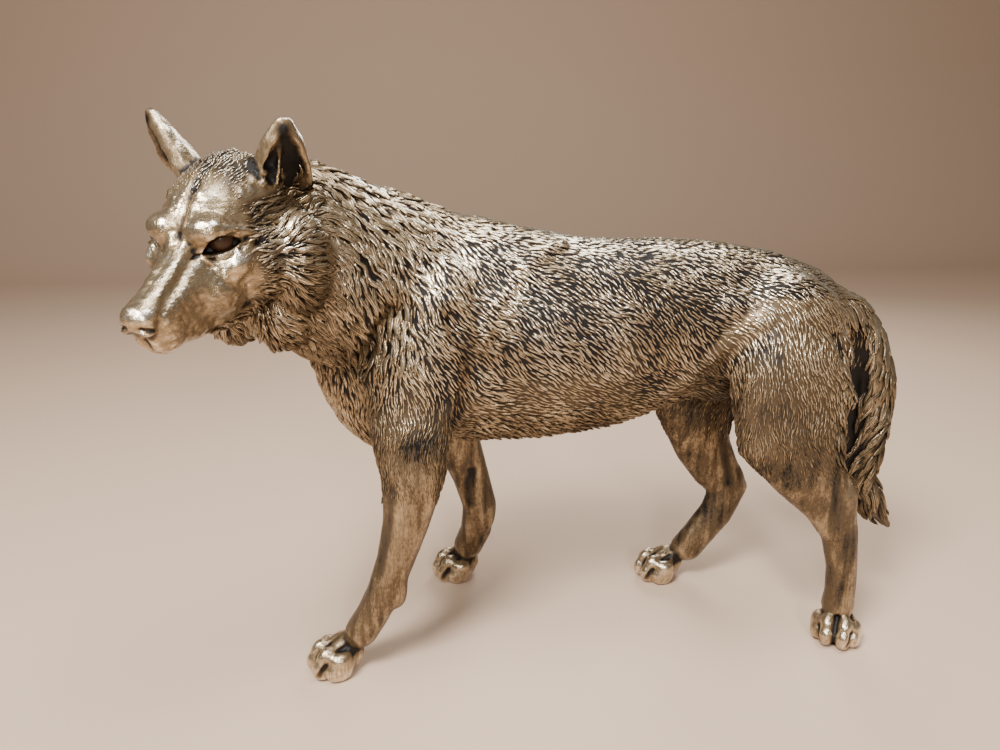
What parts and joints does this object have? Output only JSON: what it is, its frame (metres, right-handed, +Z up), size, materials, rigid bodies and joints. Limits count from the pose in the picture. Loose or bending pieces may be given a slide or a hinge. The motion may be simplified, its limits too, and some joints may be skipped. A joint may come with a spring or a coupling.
{
  "type": "wolf figurine",
  "caption": "Cast decorative figurine of a walking wolf with its head turned to its left, sculpted coat, pricked ears and a hanging tail, finished in antique gold.",
  "frame": {"origin": "centre of the bounding box in plan, on the floor under the paws", "axes": "+Z up, -Y the way the wolf walks, +X the wolf's left, the side its head is turned to"},
  "size_m": [0.261, 0.5366, 0.3827],
  "materials": {
    "coat_gold": "antique gold paint with a dark brown patina in the hollows, satin",
    "eye_brown": "dark brown gloss paint"
  },
  "bodies": {
    "root": {"trunk": "coat_gold", "neck": "coat_gold", "head": "coat_gold", "lower_jaw": "coat_gold", "ear_left": "coat_gold", "ear_right": "coat_gold", "eye_left": "eye_brown", "eye_right": "eye_brown", "tail": "coat_gold", "foreleg_left": "coat_gold", "foreleg_right": "coat_gold", "hindleg_left": "coat_gold", "hindleg_right": "coat_gold", "forepaw_left": "coat_gold", "forepaw_right": "coat_gold", "hindpaw_left": "coat_gold", "hindpaw_right": "coat_gold"}
  },
  "joints": []
}
